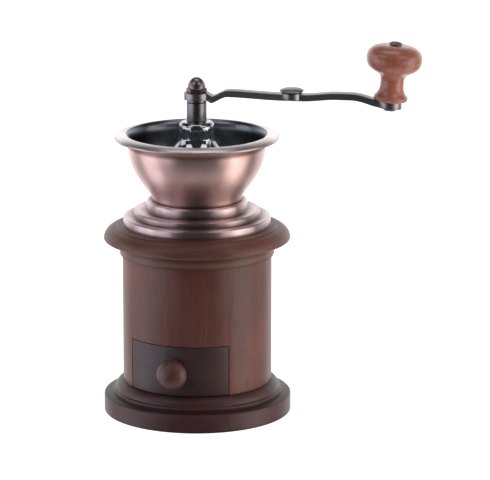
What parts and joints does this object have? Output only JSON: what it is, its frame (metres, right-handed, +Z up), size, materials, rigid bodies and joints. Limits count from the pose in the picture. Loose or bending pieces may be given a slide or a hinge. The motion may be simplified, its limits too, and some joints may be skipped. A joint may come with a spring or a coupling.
{
  "type": "burr coffee grinder",
  "caption": "Hand-cranked burr coffee grinder: round wooden body with a drawer, open metal hopper bowl, and a long crank with a turned wooden knob.",
  "frame": {"origin": "centre of the underside, on the surface the grinder stands on", "axes": "+Z up along the shaft; the drawer opens along -Y; at rest the crank points 7 degrees from +X towards +Y"},
  "size_m": [0.18, 0.1074, 0.2171],
  "materials": {
    "body_wood": "satin, reddish brown, upright grain",
    "base_wood": "satin, dark reddish brown",
    "ring_wood": "satin, reddish brown",
    "drawer_wood": "satin, very dark brown",
    "knob_wood": "semi-gloss, light reddish brown",
    "inner_wood": "plain, unstained",
    "copper": "satin antique copper tone, dark glossy inside",
    "dark_nickel": "glossy black nickel",
    "dark_bronze": "satin gunmetal with a bronze tone",
    "shaft_steel": "turned",
    "screw_steel": "zinc",
    "burr_iron": "ground cast iron",
    "bearing_brass": "plain",
    "pad_rubber": "matt"
  },
  "bodies": {
    "grinder": {"base_pad": "pad_rubber", "base_plinth": "base_wood", "base_screws": "screw_steel", "body_tube": "body_wood", "drawer_rails": "inner_wood", "chute_board": "inner_wood", "top_ring": "ring_wood", "collar_screws": "screw_steel", "collar": "copper", "outer_burr": "burr_iron", "burr_screws": "screw_steel", "bearing_bar": "burr_iron", "bearing_bar_screws": "screw_steel", "lower_bushing": "bearing_brass", "hopper_bowl": "copper", "bridge": "dark_nickel", "bridge_screws": "screw_steel", "upper_bushing": "bearing_brass", "spring": "screw_steel"},
    "adjuster": {"adjusting_nut": "dark_bronze"},
    "keyed_washer": {"lock_washer": "dark_bronze"},
    "rotor": {"shaft": "shaft_steel", "spring_collar": "shaft_steel", "inner_burr": "burr_iron", "burr_nut": "screw_steel", "crank_arm": "dark_bronze", "boss_cap": "dark_bronze", "cap_nut": "dark_bronze", "knob_pin": "dark_bronze", "knob_washer": "screw_steel"},
    "knob": {"crank_knob": "knob_wood"},
    "drawer": {"drawer_front": "drawer_wood", "drawer_sides": "inner_wood", "drawer_back": "inner_wood", "drawer_bottom": "inner_wood", "drawer_pull": "base_wood", "pull_screw": "screw_steel"}
  },
  "joints": [
    {"name": "crank_spin", "type": "hinge", "parent": "grinder", "child": "adjuster", "pos_m": [0, 0, 0.17], "axis": [0, 0, 1], "continuous": true},
    {"name": "nut_turn", "type": "hinge", "parent": "adjuster", "child": "keyed_washer", "pos_m": [0, 0, 0.18], "axis": [0, 0, 1], "range_deg": [0, 360]},
    {"name": "grind_adjust", "type": "slide", "parent": "keyed_washer", "child": "rotor", "axis": [0, 0, 1], "range_m": [0, 0.001], "deforming": ["spring"]},
    {"name": "knob_spin", "type": "hinge", "parent": "rotor", "child": "knob", "pos_m": [0.10878, 0.01336, 0.1813], "axis": [0.0865, 0.0106, 0.9962], "continuous": true},
    {"name": "drawer_slide", "type": "slide", "parent": "grinder", "child": "drawer", "axis": [0, -1, 0], "range_m": [0, 0.06]}
  ],
  "couplings": [
    {"joint": "nut_turn", "follows": "grind_adjust", "rad_per_m": 6283}
  ]
}
